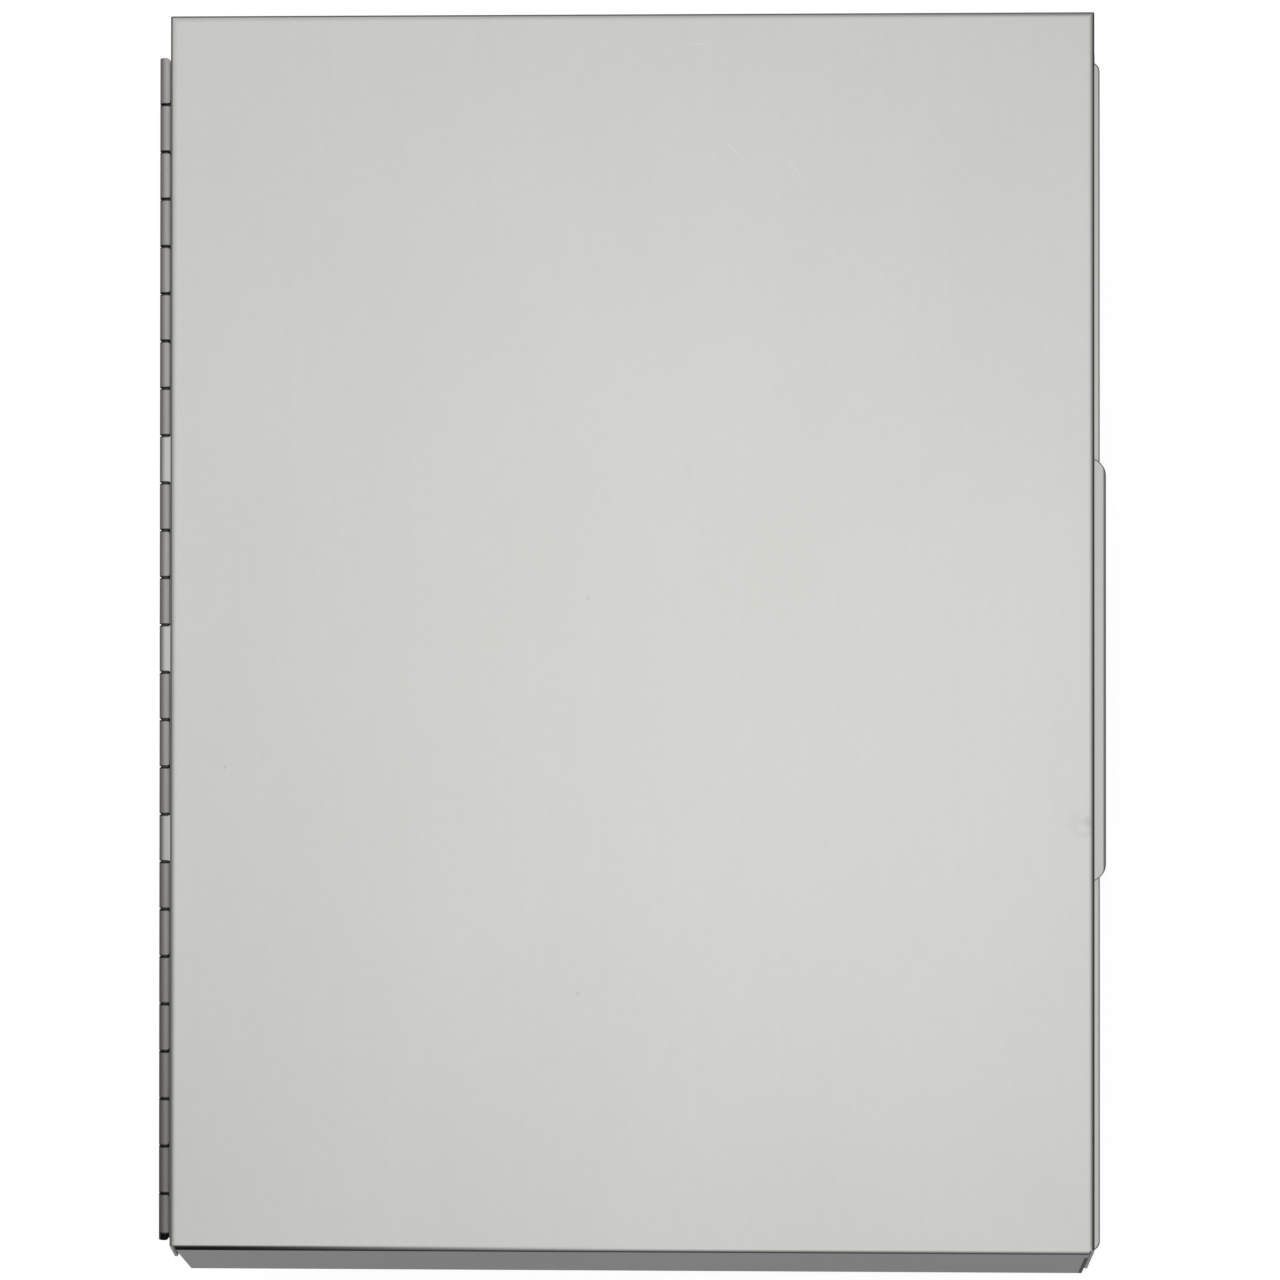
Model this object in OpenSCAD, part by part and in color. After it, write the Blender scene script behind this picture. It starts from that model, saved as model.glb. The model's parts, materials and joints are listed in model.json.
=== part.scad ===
// Storage clipboard box in folded aluminium sheet. A shallow storage tray, a writing plate with a
// spring clip, and a deep cover turn on one pin through a rolled hinge with three leaves.
// The box lies flat: +Z is up, +Y points to the clip end and -X to the hinge side.
// The origin is under the middle of the whole box, on the surface that it rests on.

/* [Sheet] */
// Thickness of the aluminium sheet of tray, plate and cover
sheet_t = 0.8; // [0.6:0.05:1]
// Inner radius of the folds of tray and cover
fold_r = 0.7; // [0.6:0.1:1.4]
// Gap between the tray's rim and the plate, and between the plate and the cover's rim
seat_gap = 0.2; // [0.1:0.05:0.4]

/* [Storage tray] */
// Width over the tray's side walls
tray_w = 247.65; // [220:0.05:300]
// Length over the tray's end walls
tray_l = 317.5; // [280:0.5:360]
// Height of the tray's walls
tray_h = 10.3; // [9.5:0.1:20]
// Length of the ears that the end walls fold in behind the side walls
ear_l = 9; // [7:0.5:10]
// Outer radius of the fold between an end wall and its ear
ear_fold_r = 1.6; // [1.2:0.1:2]
// Relief left open in the tray's corners above the floor folds
corner_relief = 0.5; // [0.3:0.1:0.8]

/* [Hinge] */
// Number of knuckles along the tray, an odd number
knuckles = 25; // [17:2:33]
// Gap between neighbouring knuckles
knuckle_gap = 0.4; // [0.3:0.05:0.6]
// Diameter of the hinge pin
pin_d = 2; // [1.6:0.1:2.4]
// Radial running clearance of the pin in the knuckles
pin_clearance = 0.05; // [0.02:0.01:0.1]
// How far each end of the pin stays back in the barrel
pin_setback = 0.6; // [0.2:0.1:2]
// Distance from the hinge pin's axis out to the cover's left wall
cover_inset = 3.95; // [3.9:0.05:6]
// Inner radius of the fold that leads the cover's left wall under the barrel
tongue_fold_r = 1.2; // [0.9:0.1:1.4]
// Angle at which the free end of a cover knuckle stops, seen along the pin
tongue_end_a = 50; // [45:1:80]
// Corner radius of the free end of a cover knuckle
tongue_corner_r = 1; // [0.6:0.1:1.2]
// Room around the moving knuckles where the tray and the plate are notched
notch_clearance = 0.4; // [0.35:0.05:0.6]

/* [Writing plate] */
// How far the plate stands out past the tray's right wall
plate_overhang = 1.1; // [1:0.1:3]
// How far the plate stands out past the tray's bottom end
plate_drop = 1.3; // [0.4:0.1:1.6]
// How much shorter than the tray the plate is
plate_short = 1.1; // [0:0.1:2]
// Corner radius of the plate
plate_corner_r = 2.5; // [1:0.1:4]

/* [Cover] */
// Height of the cover from its rim to its face
cover_h = 12.7; // [12.6:0.1:20]
// How far the cover's right wall stands in from the tray's right wall
cover_right_inset = 2.35; // [2:0.05:5]
// How far the cover reaches past the tray's top end
cover_top_reach = 7.75; // [7.2:0.05:12]
// How far the cover's bottom fold lies in from the tray's bottom end
cover_fold_setback = 1.2; // [0:0.1:3]
// Angle by which the bottom flange is splayed out from upright
splay_a = 34; // [25:1:40]
// How far the bottom flange's left end stands in from the cover's left wall
flange_left_inset = 1.7; // [1.4:0.1:5]
// How much further in the flange's left end stands at its free edge
flange_left_taper = 1.8; // [0:0.1:4]
// How far the bottom flange's right end stands in from the cover's right wall
flange_right_inset = 1.55; // [0.85:0.05:5]
// Gap between the bottom flange and the ends of the side walls
flange_gap = 0.4; // [0.2:0.1:1]
// Depth below the face at which the left wall's end turns back to the hinge
left_end_depth = 8; // [5:0.5:9]
// Radius of the cover's upright corners at its top end
cover_corner_r = 0.8; // [0.3:0.1:1.6]
// Width of the open seam in the cover's top corners
seam_w = 0.3; // [0.2:0.05:0.5]

/* [Finger tab] */
// Length of the finger tab on the cover's right wall
tab_l = 113; // [60:0.2:160]
// Distance of the tab's middle from the tray's middle, towards the clip end
tab_shift = -5.5; // [-40:0.5:40]
// How far the tab stands out past the plate's edge
tab_reach = 1.4; // [1.1:0.1:6]
// Height of the tab's underside above the plate
tab_lift = 1.6; // [1.5:0.1:4]
// Inner radius of the fold at the tab's root
tab_fold_r = 0.8; // [0.5:0.1:1.2]
// Inner radius at which the tab's outer edge turns down
tab_lip_r = 0.3; // [0.2:0.05:0.3]
// Radius of the tab's outer corners
tab_corner_r = 5.6; // [1:0.1:5.8]

/* [Clip] */
// Width over the ears of the clip's base
clip_w = 152.4; // [100:0.2:180]
// Depth of the clip's base
clip_base_d = 18; // [16:0.5:19]
// Thickness of the base's steel sheet
clip_base_t = 1.2; // [1:0.1:1.4]
// Thickness of the jaw's steel sheet
jaw_t = 1; // [0.8:0.1:1.1]
// Height of the pivot rod above the plate
rod_height = 5; // [4.9:0.1:5.4]
// Distance of the pivot rod from the plate's top end
rod_setback = 12; // [11.8:0.1:20]
// Diameter of the pivot rod
rod_d = 2; // [1.6:0.1:2.2]
// Radial running clearance of the rod in the ears
rod_clearance = 0.05; // [0.02:0.01:0.1]
// Reach of the jaw from the rod to its lip
jaw_reach = 22; // [18:0.5:23]
// Height of the jaw's upright lip
jaw_lip_h = 2.8; // [2:0.1:3.2]
// Height of the jaw's sheet over the rod's axis, up to the middle of the sheet
jaw_rise = 4.2; // [4.1:0.05:4.6]
// Height of the lever's end over the rod's axis, up to the middle of the sheet
lever_rise = 4.8; // [4.3:0.05:5]
// Reach of the thumb lever from the rod to its rolled edge
lever_reach = 16.6; // [13:0.2:17]
// Width of the thumb lever at its rolled edge
lever_w = 96; // [50:1:110]
// Radius of the lever's outer corners
lever_corner_r = 3; // [1:0.5:5]
// Side gap between the jaw and the base's ears
jaw_side_gap = 0.4; // [0.3:0.1:1]
// Wire diameter of the torsion springs
spring_wire_d = 0.9; // [0.6:0.1:1]
// Mean radius of the springs' coils
spring_r = 2.3; // [1.9:0.1:2.4]
// Number of full turns in each spring, before the last half turn
spring_turns = 4; // [2:1:6]
// Distance of each spring from the clip's middle
spring_x = 34; // [16:1:40]

/* [Rivets] */
// Shank diameter of all rivets
rivet_d = 2.4; // [2:0.1:2.6]
// Head diameter of all rivets
rivet_head_d = 4.4; // [4:0.1:4.6]
// Height of the rivets' heads
rivet_head_h = 0.75; // [0.5:0.05:0.8]
// Gap around each shank in its hole
rivet_hole_gap = 0.05; // [0.02:0.01:0.1]

/* [Latch spring] */
// Width of the latch spring along the tray
latch_w = 44; // [36:1:56]
// Distance of the latch's rivets from its ends
latch_rivet_inset = 8; // [5:0.5:12]
// Thickness of the latch spring
latch_t = 0.5; // [0.4:0.05:0.6]
// Gap between the latch's bead and the plate's edge
latch_gap = 0.1; // [0.05:0.05:0.2]

/* [Hidden] */
$fn = 64;
over = 1; // how far a cutting shape reaches past what it cuts
bite = 0.02; // how deep a folded-in ear runs into the wall that it lies on

fold_out = fold_r + sheet_t;
eye_r = pin_d / 2 + pin_clearance;
barrel_r = eye_r + sheet_t;

// heights of the leaves
plate_z = tray_h + seat_gap;
plate_top = plate_z + sheet_t;
hinge_z = plate_z - eye_r;
rim_z = plate_top + seat_gap;
cover_top = rim_z + cover_h;
notch_z = hinge_z - barrel_r - notch_clearance;

// the splayed flange, measured from the point where the fold's outer faces would meet
splay_tangent = fold_out * tan((90 - splay_a) / 2);
splay_strip = (cover_h - fold_out * (1 - sin(splay_a)) - sheet_t * sin(splay_a)) / cos(splay_a);
splay_out = fold_out * cos(splay_a) + splay_strip * sin(splay_a) - splay_tangent;

// places across the box, from the hinge to the tab
box_w = barrel_r + eye_r + tray_w + plate_overhang + tab_reach;
hinge_x = barrel_r - box_w / 2;
tray_x0 = hinge_x + eye_r;
tray_x1 = tray_x0 + tray_w;
plate_x0 = hinge_x + cover_inset + sheet_t + notch_clearance;
plate_x1 = tray_x1 + plate_overhang;
cover_x0 = hinge_x + cover_inset;
cover_x1 = tray_x1 - cover_right_inset;
tab_x1 = plate_x1 + tab_reach;

// places along the box, from the splayed flange to the cover's top wall
box_l = splay_out + tray_l - cover_fold_setback + cover_top_reach;
tray_y1 = box_l / 2 - cover_top_reach;
tray_y0 = tray_y1 - tray_l;
tray_yc = (tray_y0 + tray_y1) / 2;
plate_y0 = tray_y0 - plate_drop;
plate_y1 = plate_y0 + tray_l - plate_short;
cover_y1 = tray_y1 + cover_top_reach;
fold_y = tray_y0 + cover_fold_setback + splay_tangent;
tab_yc = tray_yc + tab_shift;

// the knuckles, counted from the clip end
knuckle_pitch = tray_l / knuckles;
middle_knuckle = 2 * round((knuckles - 1) / 4) + 1;
plate_knuckle_step = 4;
function knuckle_y0(i) = tray_y1 - i * knuckle_pitch + knuckle_gap / 2;
function knuckle_y1(i) = tray_y1 - (i - 1) * knuckle_pitch - knuckle_gap / 2;
function is_plate_knuckle(i) = i == middle_knuckle || abs(i - middle_knuckle) == plate_knuckle_step;
tray_knuckles = [for (i = [1:knuckles]) if (i % 2 == 0) i];
plate_knuckles = [for (i = [1:knuckles]) if (is_plate_knuckle(i)) i];
cover_knuckles = [for (i = [1:knuckles]) if (i % 2 == 1 && !is_plate_knuckle(i)) i];
tray_curl_end = 285;
plate_curl_end = 370;

// the clip, from the middle of the plate
clip_x = (plate_x0 + plate_x1) / 2;
rod_y = plate_y1 - rod_setback;
rod_z = plate_top + rod_height;
ear_r = rod_d / 2 + 2.2;
ear_in = clip_w / 2 - clip_base_t;
jaw_half = ear_in - jaw_side_gap;
jaw_ear_r = rod_d / 2 + 1.5;
clip_fold_r = 0.6;
clip_rivet_x = [-62, -20, 20, 62] * clip_w / 152.4;
clip_rivet_y = rod_y - 4.5;
jaw_lip_gap = 0.3;
jaw_lip_lean = 0.7;
jaw_knee = 2;
jaw_crown = 6.5; // half the depth of the flat sheet over the rod
lever_neck = 11;
lever_roll_r = 1;

// the jaw's section from its lip to the rolled edge of its lever, measured from the rod
jaw_lip_z = jaw_lip_gap + jaw_t / 2 - rod_height;
jaw_line = [
    [-jaw_reach - jaw_lip_lean / 2, jaw_lip_z],
    [-jaw_reach + jaw_lip_lean / 2, jaw_lip_z + jaw_lip_h],
    [-jaw_reach + jaw_lip_lean / 2 + jaw_knee, jaw_lip_z + jaw_lip_h + jaw_knee],
    [-jaw_crown, jaw_rise],
    [jaw_crown, jaw_rise],
    [lever_reach, lever_rise]
];
function lever_z(y) = jaw_rise + (lever_rise - jaw_rise) * (y - jaw_crown) / (lever_reach - jaw_crown);

// rivets of the tray: the ears' rivets sit half way up the shorter ears
rivet_hole_r = rivet_d / 2 + rivet_hole_gap;
rivet_tail_h = 0.6;
ear_z0 = fold_out + corner_relief;
corner_rivet_z = (ear_z0 + notch_z) / 2;
corner_rivet_y = ear_fold_r + ear_l / 2;
latch_rivet_y = latch_w / 2 - latch_rivet_inset;
latch_foot_z = 2.6;
latch_rivet_z = latch_foot_z + rivet_head_d / 2 + 0.4;

// ---- helpers -------------------------------------------------------------------------------

// an outline drawn in X and Z, run along Y
module along_y(from, to) {
    translate([0, to, 0]) rotate([90, 0, 0]) linear_extrude(to - from) children();
}

// an outline drawn in Y and Z, run along X
module along_x(from, to) {
    translate([from, 0, 0]) rotate([90, 0, 90]) linear_extrude(to - from) children();
}

// a flat outline run upwards
module upright(from, to) {
    translate([0, 0, from]) linear_extrude(to - from) children();
}

// section of a sheet bent round the origin, from one angle to another
module bend(inner_r, t, from, to) {
    reach = 2 * (inner_r + t);
    steps = 8;
    intersection() {
        difference() {
            circle(inner_r + t);
            circle(inner_r);
        }
        polygon(concat([[0, 0]], [for (i = [0:steps]) let (a = from + (to - from) * i / steps)
            reach * [cos(a), sin(a)]]));
    }
}

// rectangle from corner to corner
module block2(from, to) {
    translate(from) square(to - from);
}

// rectangle with its four corners rounded
module round_block2(from, to, r) {
    block2(from + [r, 0], to - [r, 0]);
    block2(from + [0, r], to - [0, r]);
    for (x = [from[0] + r, to[0] - r], y = [from[1] + r, to[1] - r]) translate([x, y]) circle(r);
}

// section of a sheet bent along a line of points
module ribbon(points, t) {
    for (p = points) translate(p) circle(t / 2);
    for (i = [0:len(points) - 2]) let (step = points[i + 1] - points[i])
        translate(points[i]) rotate(atan2(step[1], step[0])) translate([0, -t / 2]) square([norm(step), t]);
}

// a rivet along Z: its domed head sits above z = 0 and its tail below the gripped sheets
module rivet(grip) {
    head_r = rivet_head_d / 2;
    dome_r = (head_r * head_r + rivet_head_h * rivet_head_h) / (2 * rivet_head_h);
    rotate_extrude() intersection() {
        translate([0, rivet_head_h - dome_r]) circle(dome_r, $fn = 128);
        block2([0, 0], [head_r, rivet_head_h]);
    }
    translate([0, 0, -grip]) cylinder(h = grip, r = rivet_d / 2);
    translate([0, 0, -grip - rivet_tail_h]) cylinder(h = rivet_tail_h, r1 = head_r * 0.6, r2 = head_r * 0.8);
}

// a hole for a rivet, run along Z from below to above the sheets
module rivet_hole(depth) {
    translate([0, 0, -depth - over]) cylinder(h = depth + 2 * over, r = rivet_hole_r);
}

// ---- hinge ---------------------------------------------------------------------------------

// the tray's wall rises beside the pin and curls over it, away from the box
module tray_knuckle() {
    translate([hinge_x, hinge_z]) bend(eye_r, sheet_t, 0, tray_curl_end);
    block2([tray_x0, notch_z - over], [tray_x0 + sheet_t, hinge_z]);
}

// the plate runs flat over the pin and curls down round it
module plate_knuckle() {
    translate([hinge_x, hinge_z]) bend(eye_r, sheet_t, 90, plate_curl_end);
    block2([hinge_x, plate_z], [plate_x0 + over, plate_top]);
}

// the cover's wall comes down inside the tray, turns out under the pin and curls up over it
module cover_knuckle() {
    turn_x = cover_inset - tongue_fold_r;
    turn_z = tongue_fold_r - eye_r;
    translate([hinge_x, hinge_z]) {
        bend(eye_r, sheet_t, tongue_end_a, 270);
        block2([0, -barrel_r], [turn_x, -eye_r]);
        translate([turn_x, turn_z]) bend(tongue_fold_r, sheet_t, 270, 360);
        block2([cover_inset, turn_z], [cover_inset + sheet_t, rim_z + over - hinge_z]);
    }
}

// what the rounded corners take off the free end of a cover knuckle, seen from above
module tongue_corners(y0, y1) {
    end_x = hinge_x + barrel_r * cos(tongue_end_a);
    r = tongue_corner_r;
    for (side = [0, 1]) {
        y = side == 0 ? y0 : y1;
        inward = side == 0 ? r : -r;
        difference() {
            block2([end_x - r, min(y, y + inward)], [end_x + over, max(y, y + inward)]);
            translate([end_x - r, y + inward]) circle(r);
        }
    }
}

module hinge_pin() {
    tip = 0.3;
    r = pin_d / 2;
    y1 = tray_y1 - pin_setback;
    length = tray_l - 2 * pin_setback;
    color("gainsboro") translate([hinge_x, y1, hinge_z]) rotate([90, 0, 0]) {
        cylinder(h = tip, r1 = r - tip, r2 = r);
        translate([0, 0, tip]) cylinder(h = length - 2 * tip, r = r);
        translate([0, 0, length - tip]) cylinder(h = tip, r1 = r, r2 = r - tip);
    }
}

// ---- tray ----------------------------------------------------------------------------------

// floor, the folds beside it and both side walls
module tray_channel() {
    along_y(tray_y0 + fold_out, tray_y1 - fold_out) {
        block2([tray_x0 + fold_out, 0], [tray_x1 - fold_out, sheet_t]);
        translate([tray_x0 + fold_out, fold_out]) bend(fold_r, sheet_t, 180, 270);
        translate([tray_x1 - fold_out, fold_out]) bend(fold_r, sheet_t, 270, 360);
        block2([tray_x0, fold_out], [tray_x0 + sheet_t, notch_z]);
        block2([tray_x1 - sheet_t, fold_out], [tray_x1, tray_h]);
    }
    along_y(tray_y0, tray_y1) {
        block2([tray_x0, ear_z0], [tray_x0 + sheet_t, notch_z]);
        block2([tray_x1 - sheet_t, ear_z0], [tray_x1, tray_h]);
    }
}

// one end wall at the clip end, with the ears that it folds in behind the side walls
module tray_end() {
    ear_in_r = ear_fold_r - sheet_t;
    wall_x0 = tray_x0 + sheet_t + ear_fold_r;
    wall_x1 = tray_x1 - sheet_t - ear_fold_r;
    ear_y1 = tray_y1 - ear_fold_r;
    ear_y0 = ear_y1 - ear_l;
    difference() {
        along_x(wall_x0, wall_x1) {
            translate([tray_y1 - fold_out, fold_out]) bend(fold_r, sheet_t, 270, 360);
            block2([tray_y1 - sheet_t, fold_out], [tray_y1, tray_h]);
        }
        // room for the cover's outermost knuckle
        translate([wall_x0 - over, tray_y1 - sheet_t - over, notch_z])
            cube([plate_x0 - wall_x0 + over, sheet_t + 2 * over, tray_h]);
    }
    upright(ear_z0, notch_z) {
        translate([wall_x0, ear_y1]) bend(ear_in_r, sheet_t, 90, 180);
        block2([wall_x0, tray_y1 - sheet_t], [wall_x1, tray_y1]);
        block2([tray_x0 + sheet_t - bite, ear_y0], [tray_x0 + 2 * sheet_t, ear_y1]);
    }
    upright(ear_z0, tray_h - sheet_t) {
        translate([wall_x1, ear_y1]) bend(ear_in_r, sheet_t, 0, 90);
        block2([(wall_x0 + wall_x1) / 2, tray_y1 - sheet_t], [wall_x1, tray_y1]);
        block2([tray_x1 - 2 * sheet_t, ear_y0], [tray_x1 - sheet_t + bite, ear_y1]);
    }
}

// places a shape on the tray's four corners: 1 and 2 at the clip end, 3 and 4 at the other, left first
module on_corner(i) {
    left = i % 2 == 1;
    y = i <= 2 ? tray_y1 - corner_rivet_y : tray_y0 + corner_rivet_y;
    translate([left ? tray_x0 : tray_x1, y, corner_rivet_z]) rotate([0, left ? -90 : 90, 0]) children();
}

module on_latch_rivet(i, x) {
    y = i == 1 ? latch_rivet_y : -latch_rivet_y;
    translate([x, tab_yc + y, latch_rivet_z]) rotate([0, 90, 0]) children();
}

module storage_tray() {
    color("silver") difference() {
        union() {
            tray_channel();
            tray_end();
            translate([0, 2 * tray_yc, 0]) mirror([0, 1, 0]) tray_end();
            for (i = tray_knuckles) along_y(knuckle_y0(i), knuckle_y1(i)) tray_knuckle();
        }
        for (i = [1:4]) on_corner(i) rivet_hole(2 * sheet_t);
        for (i = [1:2]) on_latch_rivet(i, tray_x1) rivet_hole(sheet_t);
    }
}

module corner_rivet(i) {
    color("darkgray") on_corner(i) rivet(2 * sheet_t);
}

// ---- latch spring --------------------------------------------------------------------------

// a strip riveted to the tray's right wall: it steps out past the plate's edge, and a bead in it
// stands over that edge
module latch_line() {
    foot = tray_x1 + latch_t / 2;
    upright_x = plate_x1 + latch_gap + 0.25 + latch_t / 2;
    bead_x = plate_x1 + latch_gap + latch_t / 2;
    step_z = plate_z - 1.2;
    ribbon([
        [foot, latch_foot_z],
        [foot, step_z - 1.4],
        [upright_x, step_z],
        [upright_x, plate_top],
        [bead_x, plate_top + 0.45],
        [upright_x, plate_top + 0.85]
    ], latch_t);
}

module latch_spring() {
    color("lightsteelblue") difference() {
        along_y(tab_yc - latch_w / 2, tab_yc + latch_w / 2) latch_line();
        for (i = [1:2]) on_latch_rivet(i, tray_x1 + latch_t) rivet_hole(latch_t);
    }
}

module latch_rivet(i) {
    color("darkgray") on_latch_rivet(i, tray_x1 + latch_t) rivet(latch_t + sheet_t);
}

// ---- writing plate -------------------------------------------------------------------------

module on_clip_rivet(i) {
    translate([clip_x + clip_rivet_x[i - 1], clip_rivet_y, plate_top + clip_base_t]) children();
}

module writing_plate() {
    color("gainsboro") difference() {
        union() {
            upright(plate_z, plate_top)
                round_block2([plate_x0, plate_y0], [plate_x1, plate_y1], plate_corner_r);
            for (i = plate_knuckles) along_y(knuckle_y0(i), knuckle_y1(i)) plate_knuckle();
        }
        for (i = [1:4]) on_clip_rivet(i) rivet_hole(clip_base_t + sheet_t);
    }
}

// ---- clip ----------------------------------------------------------------------------------

// the base's ear and the jaw's ear are round about the rod and run straight to their sheet
module ear_outline(r, to_z) {
    circle(r);
    block2([-r, min(0, to_z)], [r, max(0, to_z)]);
}

module rod_hole(from, to) {
    translate([from, rod_y, rod_z]) rotate([0, 90, 0])
        cylinder(h = to - from, r = rod_d / 2 + rod_clearance);
}

// steel channel: its ends turn up as ears for the rod
module clip_base() {
    out = clip_fold_r + clip_base_t;
    x0 = clip_x - clip_w / 2;
    x1 = clip_x + clip_w / 2;
    z0 = plate_top;
    color("lightgray") difference() {
        intersection() {
            along_y(rod_y - clip_base_d / 2, rod_y + clip_base_d / 2) {
                block2([x0 + out, z0], [x1 - out, z0 + clip_base_t]);
                translate([x0 + out, z0 + out]) bend(clip_fold_r, clip_base_t, 180, 270);
                translate([x1 - out, z0 + out]) bend(clip_fold_r, clip_base_t, 270, 360);
                block2([x0, z0 + out], [x0 + clip_base_t, rod_z + ear_r]);
                block2([x1 - clip_base_t, z0 + out], [x1, rod_z + ear_r]);
            }
            along_x(x0 - over, x1 + over) {
                translate([rod_y, rod_z]) ear_outline(ear_r, z0 - rod_z);
                block2([rod_y - clip_base_d / 2, z0], [rod_y + clip_base_d / 2, z0 + clip_base_t]);
            }
        }
        rod_hole(x0 - over, x1 + over);
        for (i = [1:4]) on_clip_rivet(i) rivet_hole(clip_base_t);
    }
}

// pressing jaw and thumb lever in one sheet, hung on the rod by two ears
module jaw_outline() {
    neck_y = rod_y + lever_neck;
    tip_y = rod_y + lever_reach + lever_roll_r;
    block2([clip_x - jaw_half, rod_y - jaw_reach - 2 * jaw_t], [clip_x + jaw_half, rod_y + jaw_ear_r]);
    polygon([
        [clip_x - jaw_half, rod_y + jaw_ear_r],
        [clip_x + jaw_half, rod_y + jaw_ear_r],
        [clip_x + lever_w / 2, neck_y],
        [clip_x - lever_w / 2, neck_y]
    ]);
    round_block2([clip_x - lever_w / 2, rod_y], [clip_x + lever_w / 2, tip_y], lever_corner_r);
}

module clip_jaw() {
    color("lightgray") difference() {
        union() {
            intersection() {
                along_x(clip_x - jaw_half, clip_x + jaw_half) translate([rod_y, rod_z]) {
                    ribbon(jaw_line, jaw_t);
                    translate([lever_reach, lever_rise + lever_roll_r - jaw_t / 2]) circle(lever_roll_r);
                }
                upright(plate_top, cover_top) jaw_outline();
            }
            for (x = [clip_x - jaw_half, clip_x + jaw_half - jaw_t])
                along_x(x, x + jaw_t) translate([rod_y, rod_z]) ear_outline(jaw_ear_r, jaw_rise);
        }
        rod_hole(clip_x - jaw_half - over, clip_x + jaw_half + over);
    }
}

// rod with a peened head outside each ear
module clip_rod() {
    head_h = 0.7;
    head_r = rod_d / 2 + 0.7;
    color("darkgray") translate([clip_x, rod_y, rod_z]) rotate([0, 90, 0]) {
        cylinder(h = clip_w, r = rod_d / 2, center = true);
        for (side = [0, 1]) mirror([0, 0, side])
            translate([0, 0, clip_w / 2]) cylinder(h = head_h, r1 = head_r, r2 = head_r * 0.7);
    }
}

// centre line of a torsion spring: a leg on the base, the coil, and a leg under the lever
spring_rest_gap = 0.12; // between the spring's legs and what they press on
spring_pitch = spring_wire_d + 0.05;
spring_steps = 18;
spring_half_turns = 2 * spring_turns + 1;
spring_l = spring_half_turns / 2 * spring_pitch;
base_leg_y = clip_base_d / 2 - spring_wire_d;
base_leg_z = clip_base_t + spring_wire_d / 2 + spring_rest_gap - rod_height;
lever_leg_y = jaw_crown + 3 * spring_wire_d;
function under_lever(y) = lever_z(y) - (jaw_t + spring_wire_d) / 2 - spring_rest_gap;
function coil_point(s) = let (a = -90 - 180 * s)
    [s / 2 * spring_pitch, spring_r * cos(a), spring_r * sin(a)];
spring_path = concat(
    [[0, base_leg_y, base_leg_z], [0, spring_r + spring_wire_d, base_leg_z]],
    [for (i = [0:spring_half_turns * spring_steps / 2]) coil_point(2 * i / spring_steps)],
    [for (y = [jaw_crown, lever_leg_y]) [spring_l, y, under_lever(y)]]
);

// round wire swept along a path: every ring stands across the path and keeps one side to X
module wire(path, d) {
    sides = 8;
    last = len(path) - 1;
    function unit(v) = v / norm(v);
    function way(i) = unit(path[min(i + 1, last)] - path[max(i - 1, 0)]);
    function ring(i) = let (w = way(i), u = unit(cross(w, [1, 0, 0])), v = cross(u, w))
        [for (k = [0:sides - 1]) let (a = 360 * k / sides)
            path[i] + d / 2 * (cos(a) * u + sin(a) * v)];
    polyhedron(
        points = [for (i = [0:last]) each ring(i)],
        faces = concat(
            [[for (k = [sides - 1:-1:0]) k]],
            [for (i = [0:last - 1], k = [0:sides - 1]) let (a = i * sides, n = (k + 1) % sides)
                [a + k, a + n, a + sides + n, a + sides + k]],
            [[for (k = [0:sides - 1]) last * sides + k]]
        )
    );
}

module clip_spring(x) {
    color("slategray") translate([clip_x + x - spring_l / 2, rod_y, rod_z]) wire(spring_path, spring_wire_d);
}

module clip_spring_left() {
    clip_spring(-spring_x);
}

module clip_spring_right() {
    clip_spring(spring_x);
}

module clip_rivet(i) {
    color("darkgray") on_clip_rivet(i) rivet(clip_base_t + sheet_t);
}

// ---- cover ---------------------------------------------------------------------------------

// block with its upper edges rounded, in X and Z
module arch(x0, x1, z0, z1, r) {
    block2([x0, z0], [x1, z1 - r]);
    block2([x0 + r, z1 - r], [x1 - r, z1]);
    for (x = [x0 + r, x1 - r]) translate([x, z1 - r]) circle(r);
}

// a point of the splayed flange: how far in from its outer face, and how far down along it
function splay_point(inward, down) =
    [fold_y, cover_top - fold_out]
    + (fold_out - inward) * [-cos(splay_a), sin(splay_a)]
    + down * [-sin(splay_a), -cos(splay_a)];
function splay_down(inward, z) = (splay_point(inward, 0)[1] - z) / cos(splay_a);

// side view of the face, the side walls and the top wall
module cover_side(top_y, top_z, r) {
    wall_end = sheet_t + flange_gap;
    polygon([
        [top_y, rim_z],
        [top_y, top_z - r],
        [top_y - r, top_z - r],
        [top_y - r, top_z],
        [fold_y, top_z],
        [fold_y, cover_top - sheet_t],
        splay_point(wall_end, 0),
        splay_point(wall_end, splay_down(wall_end, rim_z))
    ]);
    translate([top_y - r, top_z - r]) circle(r);
}

// what is cut off the left wall's bottom end, between the flange and the last knuckle
module left_end_cut() {
    wall_end = sheet_t + flange_gap;
    turn = splay_point(wall_end, splay_down(wall_end, cover_top - left_end_depth));
    along_x(cover_x0 - over, cover_x0 + sheet_t + over) polygon([
        turn,
        [knuckle_y0(knuckles), rim_z],
        [knuckle_y0(knuckles), rim_z - over],
        [fold_y - 2 * cover_h, rim_z - over],
        [fold_y - 2 * cover_h, turn[1]]
    ]);
}

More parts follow.
